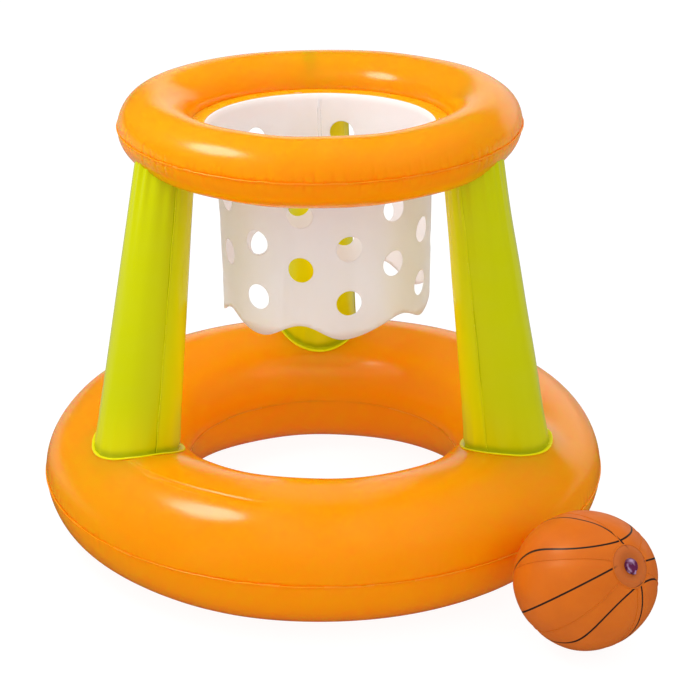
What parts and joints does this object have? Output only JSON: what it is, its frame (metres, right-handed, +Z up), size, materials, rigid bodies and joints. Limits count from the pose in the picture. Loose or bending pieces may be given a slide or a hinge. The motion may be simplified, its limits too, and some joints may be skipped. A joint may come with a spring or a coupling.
{
  "type": "floating basketball hoop",
  "caption": "Inflatable floating basketball hoop: a ring float and tapered legs carry a hoop ring with a punched net sleeve; a small inflatable ball lies beside it.",
  "frame": {"origin": "middle of the floor area of the whole set, the hoop with its ball, on the floor", "axes": "+Z up; the front of the hoop faces -Y; the ball lies at the front right, towards +X and -Y"},
  "size_m": [0.6988, 0.7351, 0.5331],
  "materials": {
    "orange_film": "glossy soft vinyl film",
    "lime_film": "glossy soft vinyl film",
    "net_film": "milky translucent vinyl film",
    "ball_film": "satin printed vinyl film",
    "clear_vinyl": "clear soft vinyl"
  },
  "bodies": {
    "hoop_stand": {"base_ring_upper_panel": "orange_film", "base_ring_lower_panel": "orange_film", "base_ring_outer_weld": "orange_film", "base_ring_inner_weld": "orange_film", "hoop_ring_upper_panel": "orange_film", "hoop_ring_lower_panel": "orange_film", "hoop_ring_outer_weld": "orange_film", "hoop_ring_inner_web": "orange_film", "leg_back_outer_panel": "lime_film", "leg_back_inner_panel": "lime_film", "leg_back_side_weld_1": "lime_film", "leg_back_side_weld_2": "lime_film", "leg_back_base_flange": "lime_film", "leg_back_hoop_flange": "lime_film", "leg_left_outer_panel": "lime_film", "leg_left_inner_panel": "lime_film", "leg_left_side_weld_1": "lime_film", "leg_left_side_weld_2": "lime_film", "leg_left_base_flange": "lime_film", "leg_left_hoop_flange": "lime_film", "leg_right_outer_panel": "lime_film", "leg_right_inner_panel": "lime_film", "leg_right_side_weld_1": "lime_film", "leg_right_side_weld_2": "lime_film", "leg_right_base_flange": "lime_film", "leg_right_hoop_flange": "lime_film", "net_sleeve": "net_film", "net_lap_weld": "net_film", "base_valve_collar": "clear_vinyl", "hoop_valve_collar": "clear_vinyl"},
    "base_valve": {"base_valve_stem": "clear_vinyl"},
    "base_stopper": {"base_valve_plug": "clear_vinyl"},
    "hoop_valve": {"hoop_valve_stem": "clear_vinyl"},
    "hoop_stopper": {"hoop_valve_plug": "clear_vinyl"},
    "ball": {"ball_gore_1": "ball_film", "ball_gore_2": "ball_film", "ball_gore_3": "ball_film", "ball_gore_4": "ball_film", "ball_gore_5": "ball_film", "ball_gore_6": "ball_film", "ball_valve_disc": "ball_film", "ball_end_disc": "ball_film", "ball_valve_collar": "clear_vinyl"},
    "ball_valve": {"ball_valve_stem": "clear_vinyl"},
    "ball_stopper": {"ball_valve_plug": "clear_vinyl"}
  },
  "joints": [
    {"name": "base_valve_pull", "type": "slide", "parent": "hoop_stand", "child": "base_valve", "axis": [-0.465, 0.6959, 0.5472], "range_m": [0, 0.012]},
    {"name": "base_stopper_hinge", "type": "hinge", "parent": "base_valve", "child": "base_stopper", "pos_m": [-0.19582, 0.30438, 0.10749], "axis": [-0.8315, -0.5556, 0], "range_deg": [0, 130]},
    {"name": "hoop_valve_pull", "type": "slide", "parent": "hoop_stand", "child": "hoop_valve", "axis": [-0.0696, 0.796, 0.6012], "range_m": [0, 0.012]},
    {"name": "hoop_stopper_hinge", "type": "hinge", "parent": "hoop_valve", "child": "hoop_stopper", "pos_m": [-0.03348, 0.26013, 0.50999], "axis": [-0.9962, -0.0872, 0], "range_deg": [0, 130]},
    {"name": "ball_lift", "type": "slide", "parent": "hoop_stand", "child": "ball", "axis": [0, 0, 1], "range_m": [0, 0.25]},
    {"name": "ball_valve_pull", "type": "slide", "parent": "ball", "child": "ball_valve", "axis": [0.5416, -0.6341, 0.5519], "range_m": [0, 0.012]},
    {"name": "ball_stopper_hinge", "type": "hinge", "parent": "ball_valve", "child": "ball_stopper", "pos_m": [0.31649, -0.34215, 0.11257], "axis": [0.7604, 0.6494, 0], "range_deg": [0, 130]}
  ]
}
